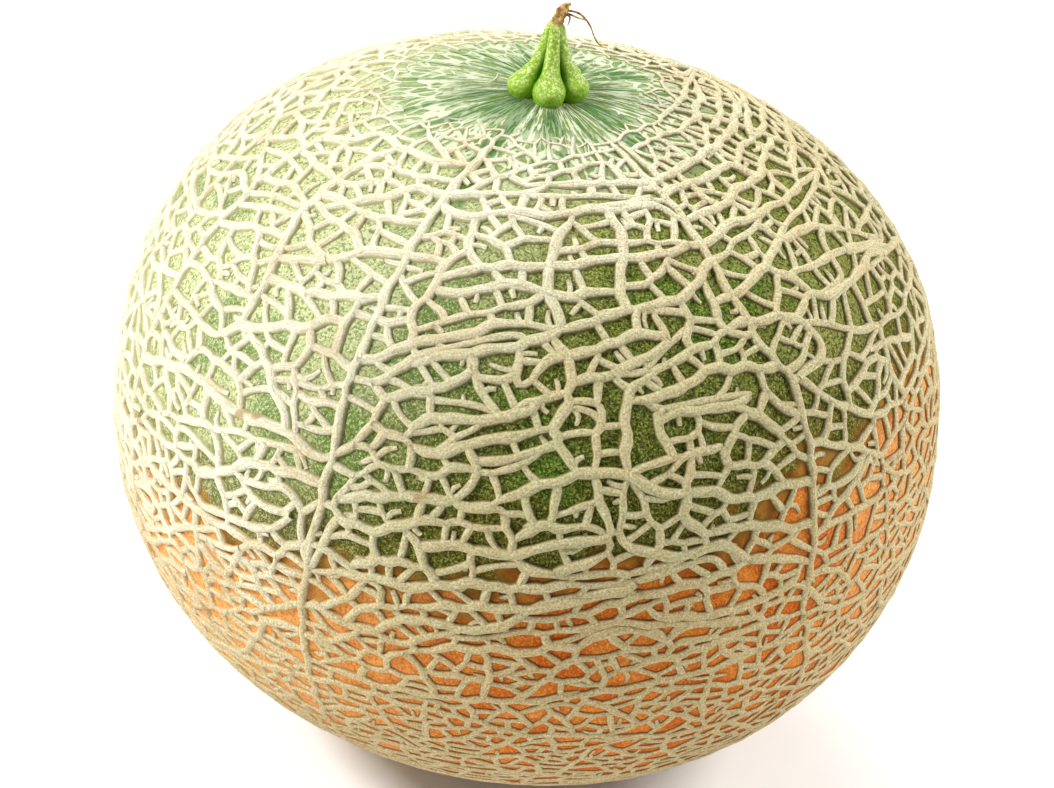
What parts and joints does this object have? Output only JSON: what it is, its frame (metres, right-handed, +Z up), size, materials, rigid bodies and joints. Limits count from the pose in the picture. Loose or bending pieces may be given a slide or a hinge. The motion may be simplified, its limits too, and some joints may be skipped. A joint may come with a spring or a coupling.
{
  "type": "netted melon",
  "caption": "Whole ripe muskmelon: a wide rounded fruit whose green and orange rind is covered by a raised pale net, with its ribbed green stem and dried tip.",
  "frame": {"origin": "middle of the flat spot under the fruit, on the surface it stands on", "axes": "+Z up along the fruit from the flat spot to the stem; -Y toward the side the picture shows; +X to the right of that side"},
  "size_m": [0.16, 0.1599, 0.1527],
  "materials": {
    "netted_rind": "matte, corky pale net over a green to orange rind",
    "stem_green": "satin, fresh green",
    "dry_brown": "matte, dry"
  },
  "bodies": {
    "root": {"melon_body": "netted_rind", "stem": "stem_green", "dried_tip": "dry_brown"}
  },
  "joints": []
}
